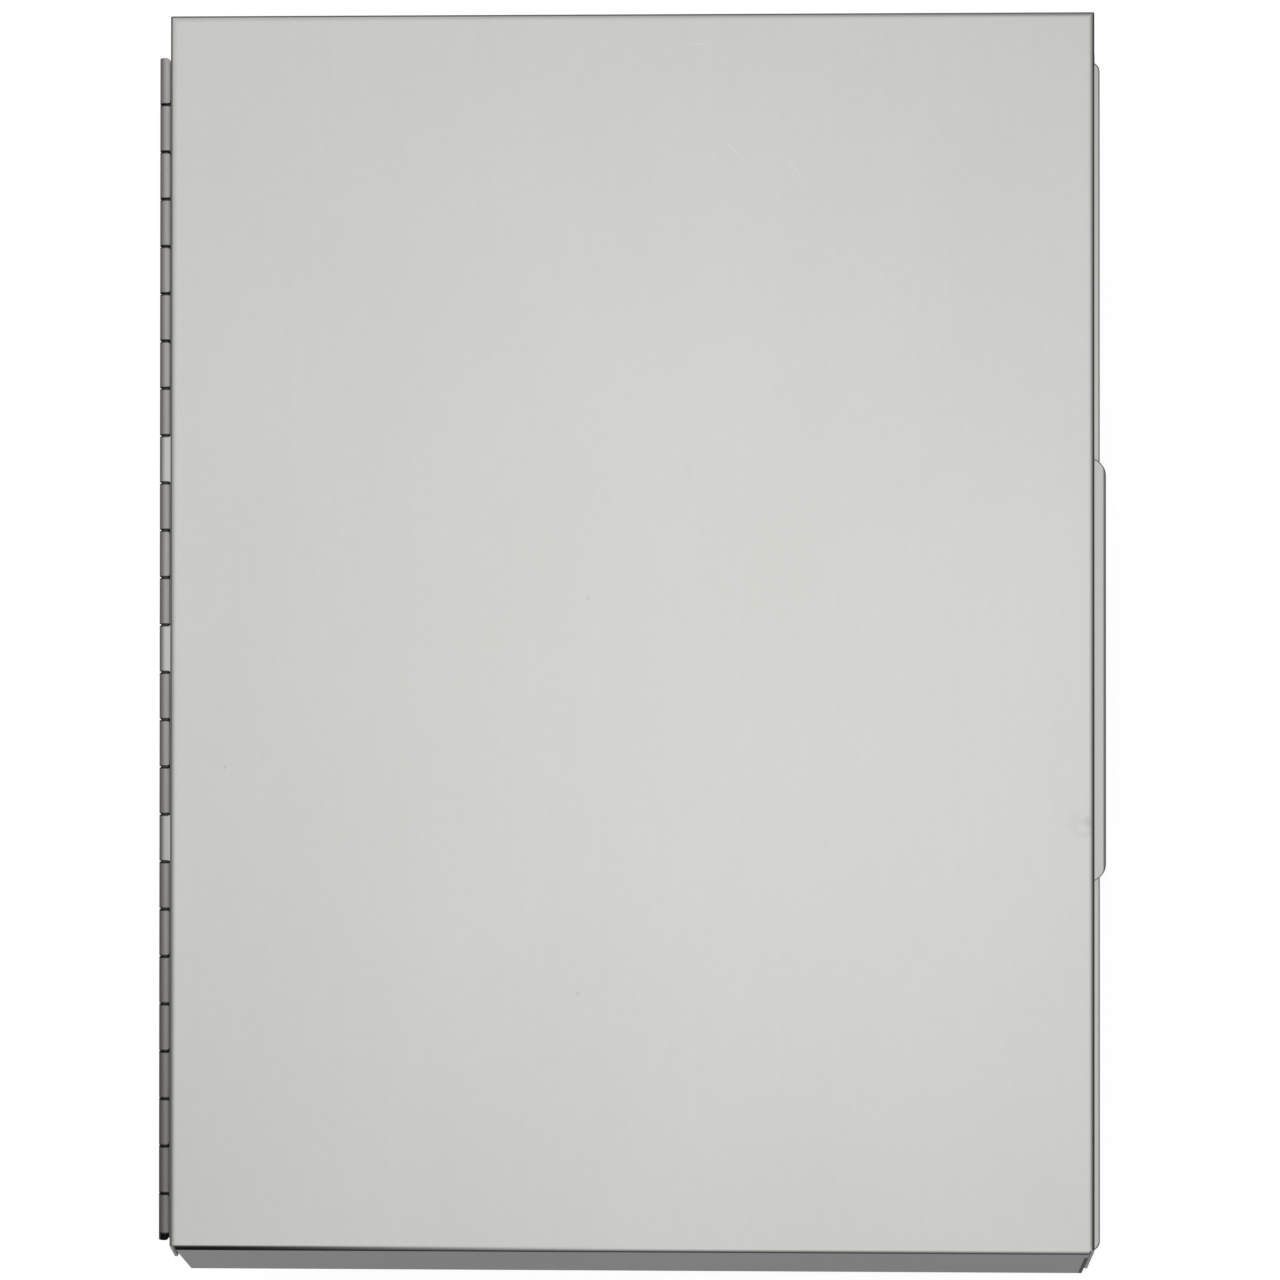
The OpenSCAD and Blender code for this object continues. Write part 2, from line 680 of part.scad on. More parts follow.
module cover_pan() {
    far = fold_y - 2 * cover_h;
    difference() {
        intersection() {
            along_y(far, cover_y1) arch(cover_x0, cover_x1, rim_z, cover_top, fold_out);
            along_x(cover_x0, cover_x1) cover_side(cover_y1, cover_top, fold_out);
            upright(rim_z, cover_top)
                round_block2([cover_x0, far - cover_corner_r], [cover_x1, cover_y1], cover_corner_r);
        }
        intersection() {
            along_y(far, cover_y1)
                arch(cover_x0 + sheet_t, cover_x1 - sheet_t, rim_z - over, cover_top - sheet_t, fold_r);
            along_x(cover_x0, cover_x1) {
                block2([far, rim_z - over], [cover_y1 - sheet_t, cover_top - fold_out]);
                block2([far, rim_z], [cover_y1 - fold_out, cover_top - sheet_t]);
                translate([cover_y1 - fold_out, cover_top - fold_out]) circle(fold_r);
            }
        }
        // open seams where the side walls meet the top wall
        for (x = [cover_x0 - over, cover_x1 - sheet_t - over])
            translate([x, cover_y1 - fold_out - seam_w, rim_z - over])
                cube([sheet_t + 2 * over, seam_w, cover_h - fold_out + over]);
        left_end_cut();
    }
}

module bottom_flange() {
    x0 = cover_x0 + flange_left_inset;
    x1 = cover_x1 - flange_right_inset;
    end_y = fold_y - splay_out - over;
    difference() {
        along_x(x0, x1) translate([fold_y, cover_top - fold_out]) {
            bend(fold_r, sheet_t, 90, 180 - splay_a);
            rotate(180 - splay_a) block2([fold_r, 0], [fold_out, splay_strip]);
        }
        // the left end slants in towards the flange's free edge
        upright(rim_z - over, cover_top + over) polygon([
            [x0 - over, fold_y],
            [x0, fold_y],
            [x0 + flange_left_taper, end_y],
            [x0 - over, end_y]
        ]);
    }
}

// the right wall is cut free over the tab's length, and the tab turns out of it
tab_z = plate_top + tab_lift;
tab_root_z = tab_z + sheet_t + tab_fold_r;
lip_x = tab_x1 - sheet_t - tab_lip_r;

module tab_gap() {
    relief = 0.5;
    translate([cover_x1 - sheet_t - over, tab_yc - tab_l / 2 - relief, rim_z - over])
        cube([sheet_t + 2 * over, tab_l + 2 * relief, tab_root_z - rim_z + over]);
}

module finger_tab() {
    intersection() {
        along_y(tab_yc - tab_l / 2, tab_yc + tab_l / 2) {
            translate([cover_x1 + tab_fold_r, tab_root_z]) bend(tab_fold_r, sheet_t, 180, 270);
            block2([cover_x1 + tab_fold_r, tab_z], [lip_x, tab_z + sheet_t]);
            translate([lip_x, tab_z - tab_lip_r]) bend(tab_lip_r, sheet_t, 0, 90);
        }
        upright(rim_z, cover_top) round_block2(
            [cover_x1 - sheet_t - tab_corner_r, tab_yc - tab_l / 2],
            [tab_x1, tab_yc + tab_l / 2],
            tab_corner_r
        );
    }
}

module cover() {
    color("silver") {
        difference() {
            cover_pan();
            tab_gap();
        }
        bottom_flange();
        finger_tab();
        difference() {
            for (i = cover_knuckles) along_y(knuckle_y0(i), knuckle_y1(i)) cover_knuckle();
            for (i = cover_knuckles) upright(hinge_z, rim_z)
                tongue_corners(knuckle_y0(i), knuckle_y1(i));
        }
    }
}

// ---- what is drawn -------------------------------------------------------------------------

storage_tray();
hinge_pin();
latch_spring();
for (i = [1:2]) latch_rivet(i);
for (i = [1:4]) corner_rivet(i);
writing_plate();
clip_base();
clip_rod();
clip_spring_left();
clip_spring_right();
for (i = [1:4]) clip_rivet(i);
clip_jaw();
cover();
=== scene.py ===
# %% [markdown]
# # A storage clipboard box in satin aluminium
# This lesson dresses a flat sheet-metal box for forms: a shallow tray, a writing plate with a
# spring clip, and a deep cover, all turning on one rolled hinge. The shapes come ready made as a
# fixed frame in metres, +Z up, the hinge at -X and the clip at +Y. What is left to do is what
# makes folded metal look like metal: the light, the rolled grain, the broken sheet edges, and
# the small marks of handling.

# %% Load the frame
import json
import math

import bmesh
import bpy
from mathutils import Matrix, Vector

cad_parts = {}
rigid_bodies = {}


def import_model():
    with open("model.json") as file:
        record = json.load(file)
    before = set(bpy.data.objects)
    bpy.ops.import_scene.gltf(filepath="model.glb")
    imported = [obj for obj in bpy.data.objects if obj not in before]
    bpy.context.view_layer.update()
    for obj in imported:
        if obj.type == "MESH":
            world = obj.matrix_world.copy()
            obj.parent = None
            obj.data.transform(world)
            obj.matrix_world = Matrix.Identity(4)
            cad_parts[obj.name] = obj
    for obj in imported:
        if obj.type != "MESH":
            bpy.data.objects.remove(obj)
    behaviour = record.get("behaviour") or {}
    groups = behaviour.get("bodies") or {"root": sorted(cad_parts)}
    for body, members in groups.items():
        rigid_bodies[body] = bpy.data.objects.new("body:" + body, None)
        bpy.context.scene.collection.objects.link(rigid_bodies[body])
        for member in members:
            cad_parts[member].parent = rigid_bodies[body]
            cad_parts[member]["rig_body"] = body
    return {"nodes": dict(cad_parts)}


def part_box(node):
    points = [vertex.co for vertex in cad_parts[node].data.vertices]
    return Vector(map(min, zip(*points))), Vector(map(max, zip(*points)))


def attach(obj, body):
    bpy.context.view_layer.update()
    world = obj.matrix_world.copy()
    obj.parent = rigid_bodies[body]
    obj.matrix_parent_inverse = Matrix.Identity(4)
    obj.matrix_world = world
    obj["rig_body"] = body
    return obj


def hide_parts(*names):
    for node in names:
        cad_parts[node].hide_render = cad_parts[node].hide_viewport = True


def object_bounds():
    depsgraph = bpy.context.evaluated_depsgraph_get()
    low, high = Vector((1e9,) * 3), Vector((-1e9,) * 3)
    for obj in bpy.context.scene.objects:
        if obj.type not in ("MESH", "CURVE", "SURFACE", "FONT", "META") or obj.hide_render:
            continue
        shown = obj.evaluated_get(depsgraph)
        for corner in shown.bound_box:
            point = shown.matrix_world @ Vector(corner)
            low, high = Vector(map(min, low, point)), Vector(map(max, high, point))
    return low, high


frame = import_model()
box_low, box_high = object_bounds()
nodes = frame["nodes"]
scene = bpy.context.scene
MM = 0.001

# %% [markdown]
# ## The camera
# The box is looked at from straight above, from about the height of a copy stand. The lens and
# the height belong together: they set how much of the splayed flange and of the lower sheets
# shows past the cover. A hand-levelled camera is never quite square to its subject: this one
# hangs about a degree to the right and looks back at its aim on the cover's face.

# %% Camera
STAND_HEIGHT = 600 * MM  # from the cover's face to the lens
AIM_X, AIM_Y = 2.95 * MM, 1.95 * MM  # what the camera looks at, from the box's middle
LEAN_RIGHT, LEAN_DOWN, ROLL = math.radians(1.06), math.radians(0.22), math.radians(0.03)
SENSOR = 36.0
FIELD = 334.8 * MM  # how much of the face's plane the frame takes in

camera_data = bpy.data.cameras.new("copy_stand")
camera_data.sensor_width = SENSOR
camera_data.lens = SENSOR * STAND_HEIGHT / FIELD
camera = bpy.data.objects.new("copy_stand", camera_data)
camera.rotation_euler = (LEAN_DOWN, LEAN_RIGHT, ROLL)
arm = camera.rotation_euler.to_matrix() @ Vector((0, 0, STAND_HEIGHT))
camera.location = Vector((AIM_X, AIM_Y, box_high.z)) + arm
scene.collection.objects.link(camera)
scene.camera = camera
scene.view_settings.view_transform = "Standard"
print("lens:", round(camera_data.lens, 2), "mm")

# %% [markdown]
# ## Sums on sockets
# Shader nodes are easier to read as sums. `Value` wraps an output socket, and each operator on it
# places one Math node. `Finish` holds a node tree and has one method that places any other node.
# Colours go through Mix, and vectors through Vector Math, because a Math node turns a colour grey.

# %% A value that places its own Math nodes
class Value:
    def __init__(self, finish, socket):
        self.finish = finish
        self.socket = socket

    def math(self, operation, *others, first=None):
        terms = (self, *others) if first is None else (first, self, *others)
        return self.finish.node("ShaderNodeMath", {"operation": operation}, dict(enumerate(terms)))

    def __add__(self, other):
        return self.math("ADD", other)

    def __sub__(self, other):
        return self.math("SUBTRACT", other)

    def __mul__(self, other):
        return self.math("MULTIPLY", other)

    def __rsub__(self, other):
        return self.math("SUBTRACT", first=other)

    def __pow__(self, other):
        return self.math("POWER", other)

    __radd__ = __add__
    __rmul__ = __mul__

    def size(self):
        """The number without its sign."""
        return self.math("ABSOLUTE")

    def at_least(self, other):
        return self.math("MAXIMUM", other)

    def ramp(self, start, end):
        """0 before start and 1 past end, with soft shoulders."""
        bounds = {"Value": self, "From Min": start, "From Max": end}
        return self.finish.node("ShaderNodeMapRange", {"interpolation_type": "SMOOTHSTEP"}, bounds)


# %% A node tree with one way to place nodes
class Finish:
    def __init__(self, tree):
        self.tree = tree
        tree.nodes.clear()

    def node(self, kind, settings=None, inputs=None, output=0):
        """Places a node: its settings first, then the values or links of its sockets."""
        made = self.tree.nodes.new(kind)
        for name, setting in (settings or {}).items():
            setattr(made, name, setting)
        for name, given in (inputs or {}).items():
            if isinstance(given, Value):
                self.tree.links.new(given.socket, made.inputs[name])
            else:
                made.inputs[name].default_value = given
        return Value(self, made.outputs[output]) if made.outputs else None

    def mix(self, factor, first, second):
        """Blends two colours. The sockets go by number, because Mix has several of one name."""
        settings = {"data_type": "RGBA"}
        return self.node("ShaderNodeMix", settings, {0: factor, 6: first, 7: second}, output=2)

    def parts(self, vector):
        split = self.node("ShaderNodeSeparateXYZ", inputs={"Vector": vector})
        return [Value(self, socket) for socket in split.socket.node.outputs]

    def vector(self, x=0.0, y=0.0, z=0.0):
        return self.node("ShaderNodeCombineXYZ", inputs={"X": x, "Y": y, "Z": z})

    def noise(self, place, detail=2.0, roughness=0.5):
        inputs = {"Vector": place, "Scale": 1.0, "Detail": detail, "Roughness": roughness}
        return self.node("ShaderNodeTexNoise", inputs=inputs)

    def grain(self, place, scales, detail=2.0, roughness=0.5):
        """Noise with a scale of its own along each axis, so that it can be stretched."""
        stretched = self.vector(*(part * scale for part, scale in zip(self.parts(place), scales)))
        return self.noise(stretched, detail, roughness)


# %% [markdown]
# ## Light
# Satin metal shows what surrounds it, so its light is designed as a surrounding. Straight
# overhead is a bright middle, which the flat face mirrors, and from there the light falls away to
# a dim horizon. Each fold mirrors that fall, which draws the folds as dark lines, and painted shade
# on the folds deepens them. One side of the room, up and to the left, stays lighter, so the left
# and the upper folds are paler than the right and the lower ones, and the painted shade is deeper
# on the right and the lower folds too. The world carries all this for every ray but the camera's
# own. The camera sees plain white, and the metal sees a share of that white.

# %% World
WHITE = (1.0, 1.0, 1.0, 1.0)
HORIZON = 0.06  # radiance at the dim side of the horizon
CEILING = 0.40  # added from the horizon to straight above, in step with the height
MIDDLE = 0.86  # added towards the bright middle
MIDDLE_WAY = Vector((0.061, -0.031, 1.0)).normalized()
FOCUS = 12.5  # how closely the bright middle keeps to its place
WINDOW = 0.42  # added towards the lighter side of the room
WINDOW_SIDE = Vector((-0.55, 0.83, 0.0)).normalized()
WARM_LIGHT, COOL_LIGHT = (1.0, 1.0, 0.985, 1.0), (1.0, 0.97, 1.06, 1.0)
GLOSSY_SHARE = 0.2  # how much of the white backdrop the metal shows


def backdrop_share(finish):
    """1 where the camera looks or light passes through glass, less where metal mirrors."""
    def seen(name):
        path = finish.node("ShaderNodeLightPath")
        return Value(finish, path.socket.node.outputs[name])
    share = seen("Is Camera Ray").at_least(seen("Is Transmission Ray"))
    return share.at_least(seen("Is Glossy Ray") * GLOSSY_SHARE)


def cosine_to(finish, toward, direction):
    return finish.node("ShaderNodeVectorMath", {"operation": "DOT_PRODUCT"},
                       {0: toward, 1: direction}, output="Value")


world = bpy.data.worlds.new("studio")
scene.world = world
world.use_nodes = True
sky = Finish(world.node_tree)
toward = sky.node("ShaderNodeTexCoord")
height = cosine_to(sky, toward, Vector((0, 0, 1)))
side = cosine_to(sky, toward, WINDOW_SIDE)
above = height.at_least(0.0)
middle = cosine_to(sky, toward, MIDDLE_WAY).at_least(0.0)
glow = HORIZON + CEILING * above + MIDDLE * middle ** FOCUS + WINDOW * side.ramp(0.1, 0.8)
share = backdrop_share(sky)
strength = glow * (1 - share) + share
light_colour = sky.mix(height.ramp(0.0, 0.8), COOL_LIGHT, WARM_LIGHT)
colour = sky.mix(share, light_colour, WHITE)
background = sky.node("ShaderNodeBackground", inputs={"Color": colour, "Strength": strength})
sky.node("ShaderNodeOutputWorld", inputs={"Surface": background})
print("world nodes:", len(world.node_tree.nodes))

# %% [markdown]
# One soft lamp from the window's side lets the rivets and the clip throw a shadow. It is weak
# beside the world, and low enough that the flat face doesn't mirror it to the camera.

# %% Soft lamp
LAMP_WIDTH = 0.8
LAMP_WATTS = 0.35
LAMP_PLACE = (-0.80, 0.95, 0.85)

lamp_data = bpy.data.lights.new("softbox", "AREA")
lamp_data.shape = "DISK"
lamp_data.size = LAMP_WIDTH
lamp_data.energy = LAMP_WATTS
lamp = bpy.data.objects.new("softbox", lamp_data)
lamp.location = LAMP_PLACE
lamp.rotation_euler = (-lamp.location).to_track_quat("-Z", "Y").to_euler()
scene.collection.objects.link(lamp)
print("soft lamp:", LAMP_WATTS, "W")

# %% [markdown]
# The box lies on a low pale board on a plain pale floor. The board ends just past the hinge, so
# that the cover can swing right over and hang a little below the tray's own level. Some light of
# their own lifts the floor to about the backdrop's white, and the board nearly so, and leaves the
# contact shadow. The camera sees all of that light, the metal a share of it, and it lights
# nothing else. A dark strip under the hinge is a painted shadow, which keeps the board's white
# from showing through between the knuckles.

# %% Floor and board
FLOOR_HALF = 4.0
FLOOR = 14 * MM  # its thickness
FLOOR_LIFT, BOARD_LIFT, SHADOW_STRIP_LIFT = 0.80, 0.50, 0.0
PALE, DARK = (0.47, 0.46, 0.49, 1.0), (0.05, 0.05, 0.05, 1.0)
BOARD = 7 * MM  # its thickness
BOARD_LEFT = -128.3 * MM  # just past the barrels, and clear of the cover when it is open
BOARD_EDGE = 2 * MM  # how far it stays inside the tray's other three sides
# The painted shadow under the hinge: a thin dark strip.
SHADOW_STRIP = 0.3 * MM  # its thickness
SHADOW_STRIP_RIGHT = -124.0 * MM  # just short of the tray's left wall


def new_material(name):
    material = bpy.data.materials.new(name)
    material.use_nodes = True
    return material, Finish(material.node_tree)


def stage_material(name, tone, lift):
    """A matt surface with some light of its own, which only the camera sees in full."""
    material, finish = new_material(name)
    matt = finish.node("ShaderNodeBsdfDiffuse", inputs={"Color": tone})
    own_light = finish.node("ShaderNodeEmission",
                            inputs={"Color": WHITE, "Strength": backdrop_share(finish) * lift})
    both = finish.node("ShaderNodeAddShader", inputs={0: matt, 1: own_light})
    finish.node("ShaderNodeOutputMaterial", inputs={"Surface": both})
    return material


def add_slab(name, low, high, material):
    """A plain block that is part of the stage."""
    mesh = bpy.data.meshes.new(name)
    work = bmesh.new()
    bmesh.ops.create_cube(work, size=1)
    for corner in work.verts:
        corner.co = [(a + b) / 2 + (b - a) * t for a, b, t in zip(low, high, corner.co)]
    work.to_mesh(mesh)
    work.free()
    mesh.materials.append(material)
    slab = bpy.data.objects.new(name, mesh)
    scene.collection.objects.link(slab)


tray_low, tray_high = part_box("storage_tray")
board_y = tray_low.y + BOARD_EDGE, tray_high.y - BOARD_EDGE
add_slab("floor", (-FLOOR_HALF, -FLOOR_HALF, -BOARD - FLOOR), (FLOOR_HALF, FLOOR_HALF, -BOARD),
         stage_material("pale_floor", PALE, FLOOR_LIFT))
add_slab("board", (BOARD_LEFT, board_y[0], -BOARD), (tray_high.x - BOARD_EDGE, board_y[1], 0.0),
         stage_material("pale_board", PALE, BOARD_LIFT))
# Painted shadow under the hinge, where shade falls between the knuckles.
add_slab("hinge_shadow_strip", (BOARD_LEFT, board_y[0], 0.0), (SHADOW_STRIP_RIGHT, board_y[1], SHADOW_STRIP),
         stage_material("painted_hinge_shadow", DARK, SHADOW_STRIP_LIFT))
print("stage:", BOARD / MM, "mm board on a floor", 2 * FLOOR_HALF, "m wide")

# %% [markdown]
# ## Rolled aluminium
# The sheet was rolled in the long direction, satin finished and anodised. Four things show:
# fine lines along the rolling direction, wider faint streaks, slow clouds from the anodising
# bath, and a fine mottle. The pattern is laid on the flat sheet before it is folded, so on a wall
# the height continues the direction that runs up to the fold.

# %% Where a point lay on the flat sheet
WALL = 0.5, 0.8  # how far a surface faces sideways before it counts as a wall


def place_in_object(finish):
    return finish.node("ShaderNodeTexCoord", output="Object")


def facing(finish):
    """Which way the surface faces, as three numbers from -1 to 1."""
    return finish.parts(finish.node("ShaderNodeTexCoord", output="Normal"))


def flat_sheet(finish, place):
    """Places across and along the rolling direction, in metres."""
    x, y, z = finish.parts(place)
    nx, ny, _ = facing(finish)
    across = x + z * nx.size().ramp(*WALL)
    along = y + z * ny.size().ramp(*WALL)
    return across, along


# %% Rolled grain
def rolled_grain(finish, place):
    """Fine lines, wide streaks, clouds and mottle, each from 0 to 1."""
    across, along = flat_sheet(finish, place)
    _, _, z = finish.parts(place)
    lines = finish.noise(finish.vector(across * 5200, along * 60, z * 900), detail=3)
    streaks = finish.noise(finish.vector(across * 640, along * 11, z * 60), detail=3)
    clouds = finish.grain(place, (16, 11, 16), detail=3, roughness=0.6)
    mottle = finish.grain(place, (420, 300, 420))
    return lines, streaks, clouds, mottle


# %% From colour, roughness and relief to a metal
RELIEF = 0.01 * MM  # how deep a relief is where its height is 1


def grey(value, warmth=0.0):
    """A linear grey, with blue and a little red taken off for the warmth of aluminium."""
    return (value * (1 - 0.4 * warmth), value, value * (1 - 1.6 * warmth), 1.0)


def metal_output(finish, colour, roughness, height, strength):
    """Ends a metal: colour, roughness and relief into one Principled shader."""
    relief = {"Height": height, "Distance": RELIEF, "Strength": strength}
    bump = finish.node("ShaderNodeBump", inputs=relief)
    inputs = {"Base Color": colour, "Roughness": roughness, "Metallic": 1.0, "Normal": bump}
    shader = finish.node("ShaderNodeBsdfPrincipled", inputs=inputs)
    finish.node("ShaderNodeOutputMaterial", inputs={"Surface": shader})


# %% [markdown]
# ## Marks of handling
# The cover has been handled a little: two soft smudges where fingers land, a few specks in the
# anodised layer, and some hair scratches near the clip end. A smudge or a speck is a place on the
# face and a size, and a scratch is its two ends, all in millimetres. So each mark stays where it
# is from every side.

# %% Marks on the cover
SMUDGES = [((118.5, -46.0), 5.0, 0.9), ((122.0, 21.0), 2.4, 0.7)]  # the last is the strength
SPECKS = [((-10.7, 12.9), 0.55), ((-13.3, -90.5), 0.7), ((-106.1, -31.6), 0.6)]
SCRATCHES = [((24.0, 133.5), (30.5, 127.0)), ((41.0, 127.5), (45.5, 123.0)),
             ((14.0, 158.3), (22.0, 157.6))]
SCRATCH_WIDTH = 0.14  # from its middle to where it fades out
SCRATCH_TAPER = 1.5
print("smudges, specks, scratches:", len(SMUDGES), len(SPECKS), len(SCRATCHES))


def distance_to(finish, place, x, y):
    """Distance in millimetres from a point of the face, seen from above."""
    flat = finish.node("ShaderNodeVectorMath", {"operation": "MULTIPLY"},
                       {0: place, 1: (1 / MM, 1 / MM, 0.0)})
    return finish.node("ShaderNodeVectorMath", {"operation": "DISTANCE"},
                       {0: flat, 1: (x, y, 0.0)}, output="Value")


def scratch(finish, place, start, end):
    """A hair scratch: 1 on the line from start to end, 0 beside it."""
    run = math.dist(start, end)
    way = [(b - a) / run for a, b in zip(start, end)]
    x, y, _ = finish.parts(place)
    along = x * (way[0] / MM) + y * (way[1] / MM) - (start[0] * way[0] + start[1] * way[1])
    beside = x * (way[1] / MM) - y * (way[0] / MM) - (start[0] * way[1] - start[1] * way[0])
    wander = finish.noise(finish.vector(along * 0.4), detail=1) * 0.5 - 0.25
    inside = (along - run / 2).size().ramp(run / 2, run / 2 - SCRATCH_TAPER)
    return (beside + wander).size().ramp(SCRATCH_WIDTH, 0.0) * inside


def handling_marks(finish, place):
    """Smudge, speck and scratch masks, each from 0 to 1, on the upper face only."""
    _, _, z = finish.parts(place)
    on_face = z.ramp(10 * MM, 12 * MM)
    blur = finish.grain(place, (260, 260, 0), detail=4)
    smudge = sum(distance_to(finish, place, *at).ramp(size, size * 0.2) * power
                 for at, size, power in SMUDGES) * blur.ramp(0.35, 0.65)
    speck = sum(distance_to(finish, place, *at).ramp(size, size * 0.4) for at, size in SPECKS)
    line = sum(scratch(finish, place, *ends) for ends in SCRATCHES)
    return smudge * on_face, speck * on_face, line * on_face


# %% [markdown]
# ## Folds, curls and cut edges
# The sheet was satin finished flat. Some tone on it comes from later work, and some is painted
# light and shade:
# - painted shade darkens each fold, more on the right, and deepest at the left of the bottom fold;
# - painted shade darkens the splayed flange;
# - the curling die left the barrels dull, and painted shade darkens their outer side while
#   painted light brightens their inner side;
# - painted shade darkens the knuckles' ends and seams, and the slots beside the flange;
# - painted shade draws a thin dark border along the cut edges that stay open to the eye;
# - painted shade darkens the margin of the plate and the tab beside the cover.

# %% Folds
FOLD_Y = -157.1 * MM  # where the cover's face ends and its bottom fold begins
COVER_LEFT, COVER_RIGHT = -120.7 * MM, 121.7 * MM  # outsides of its walls, without the tab
COVER_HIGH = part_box("cover")[1]
RIM = 2.2 * MM, 0.9 * MM  # from the edge to where the rim's tone starts and to where it is full
print("cover in mm:", [round(v / MM, 2) for v in (COVER_LEFT, COVER_RIGHT, FOLD_Y, COVER_HIGH.y)])


def fold_lines(finish):
    """1 where the sheet turns from a face to a wall, 0 on both and on the splayed flange."""
    _, ny, nz = facing(finish)
    turned = nz.ramp(1.02, 0.78) * nz.ramp(0.02, 0.14)
    return turned * (ny * -1).ramp(0.80, 0.72)


def fold_depth(finish):
    """How much the painted shade darkens the folds: more on the right, away from the lighter side.
    """
    nx, _, _ = facing(finish)
    return 0.6 + nx.ramp(0.2, 0.6) * 0.26


def on_flange(finish, place):
    """1 on the splayed flange below the bottom fold, where painted shade darkens it."""
    _, y, _ = finish.parts(place)
    _, ny, _ = facing(finish)
    return (ny * -1).ramp(0.70, 0.80) * y.ramp(FOLD_Y - 0.4 * MM, FOLD_Y - 1.2 * MM)


def face_rim(finish, place):
    """1 where painted shade lies beside the left, right and upper folds, in the face's last 2 mm.
    """
    x, y, z = finish.parts(place)
    beside = (x - (COVER_LEFT + COVER_RIGHT) / 2).size() * -1 + (COVER_RIGHT - COVER_LEFT) / 2
    rim = beside.ramp(*RIM).at_least((y * -1 + COVER_HIGH.y).ramp(*RIM))
    return rim * z.ramp(20 * MM, 22 * MM) * y.ramp(FOLD_Y, FOLD_Y + 1.5 * MM)


def bottom_fold(finish, place):
    """The painted shade along the bottom fold, from 0 to 1: wider and deeper towards the left."""
    x, y, _ = finish.parts(place)
    _, ny, nz = facing(finish)
    depth = 0.97 - x.ramp(-118 * MM, 70 * MM) * 0.52
    spread = y.ramp(FOLD_Y + 0.55 * MM, FOLD_Y - 0.1 * MM) * x.ramp(20 * MM, -110 * MM)
    shape = fold_lines(finish) * (ny * -1).ramp(0.10, 0.40)
    return shape.at_least(spread * nz.ramp(0.70, 0.80)) * depth


def end_slots(finish, place):
    """Painted shadow: 1 in the slots between the flange and the side walls, and on its right end.
    """
    x, y, _ = finish.parts(place)
    nx, _, _ = facing(finish)
    inner = (nx * x).ramp(-40 * MM, -90 * MM) * y.ramp(FOLD_Y - 0.3 * MM, FOLD_Y - 1.0 * MM)
    from_wall = x - COVER_RIGHT
    right_end = from_wall.ramp(-2.7 * MM, -2.3 * MM) * from_wall.ramp(-1.0 * MM, -1.2 * MM)
    return inner.at_least(right_end * y.ramp(FOLD_Y - 2.0 * MM, FOLD_Y - 2.8 * MM))


# %% Curls round the pin
PIN_LOW, PIN_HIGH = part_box("hinge_pin")
PIN_X, PIN_Z = (PIN_LOW.x + PIN_HIGH.x) / 2, (PIN_LOW.z + PIN_HIGH.z) / 2
BARREL_R = 1.85 * MM  # to the outside of a curl
CURL_ROUGHNESS = 0.62
KNUCKLE = 12.7 * MM  # from one knuckle's end to the next one's
SEAM_Y = 158.4 * MM  # the upper end of the first knuckle
SEAM = 0.60 * MM, 0.34 * MM  # from a seam's middle to where its dark starts and to where it is full
HINGE_END = 156 * MM, 154 * MM  # beyond this the barrels just end, and there is no seam
# Painted shade on the barrels deepens towards -Y, away from the room's lighter side.
SHADED_END, BRIGHT_FROM = -170 * MM, 20 * MM  # the barrels get brighter from the one to the other
SHADED_SHARE = 0.58
print("pin's axis in mm:", round(PIN_X / MM, 2), round(PIN_Z / MM, 2))


def near_pin(finish, place):
    """1 on the curled barrels, 0 on the sheet that leads to them."""
    x, _, z = finish.parts(place)
    out = finish.node("ShaderNodeVectorMath", {"operation": "LENGTH"},
                      {0: finish.vector(x - PIN_X, 0.0, z - PIN_Z)}, output="Value")
    return out.ramp(BARREL_R + 0.5 * MM, BARREL_R + 0.1 * MM)


def curl_tone(finish, place, outer, inner, reach):
    """Painted shade and light on the barrels: dark outside, light inwards, and darker towards -Y.
    """
    x, y, _ = finish.parts(place)
    even = y.ramp(SHADED_END, BRIGHT_FROM) * (1 - SHADED_SHARE) + SHADED_SHARE
    return (outer + (inner - outer) * (x - PIN_X).ramp(-1.7 * MM, reach)) * even


def knuckle_ends(finish, place):
    """Painted shade, 1 on the knuckles' ends, beside them, and along the curled sheet's free edge.
    """
    x, y, z = finish.parts(place)
    _, ny, _ = facing(finish)
    seam = (y - SEAM_Y).math("PINGPONG", KNUCKLE / 2).ramp(*SEAM)
    free_edge = (x - PIN_X).ramp(0.9 * MM, 1.15 * MM) * (z - PIN_Z).ramp(0.2 * MM, 0.6 * MM) * 0.4
    end_face = ny.size().ramp(0.5, 0.9) * (1 - y.size().ramp(150 * MM, 157 * MM) * 0.9)
    return end_face.at_least(seam * 0.95 * y.size().ramp(*HINGE_END)).at_least(free_edge)


# %% Cut edges
BORDER = 0.4 * MM  # how wide the dark is along a cut edge
PLATE_LOW, PLATE_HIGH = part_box("writing_plate")
PLATE_CORNER, TAB_CORNER = 2.5 * MM, 5.6 * MM
TAB_LOW = Vector((COVER_RIGHT - 8 * MM, -62.34 * MM, 0.0))  # its left end is inside the cover
TAB_HIGH = Vector((COVER_HIGH.x, 50.66 * MM, 0.0))
print("tab in mm:", round(TAB_LOW.y / MM, 2), "to", round(TAB_HIGH.y / MM, 2))


def border(finish, place, low, high, corner):
    """1 in the last part of a millimetre inside a rectangle with round corners, seen from above."""
    x, y, _ = finish.parts(place)
    over_x = (x - (low.x + high.x) / 2).size() - ((high.x - low.x) / 2 - corner)
    over_y = (y - (low.y + high.y) / 2).size() - ((high.y - low.y) / 2 - corner)
    out = finish.node("ShaderNodeVectorMath", {"operation": "LENGTH"},
                      {0: finish.vector(over_x.at_least(0.0), over_y.at_least(0.0))},
                      output="Value")
    return out.ramp(corner - BORDER, corner - BORDER * 0.7)


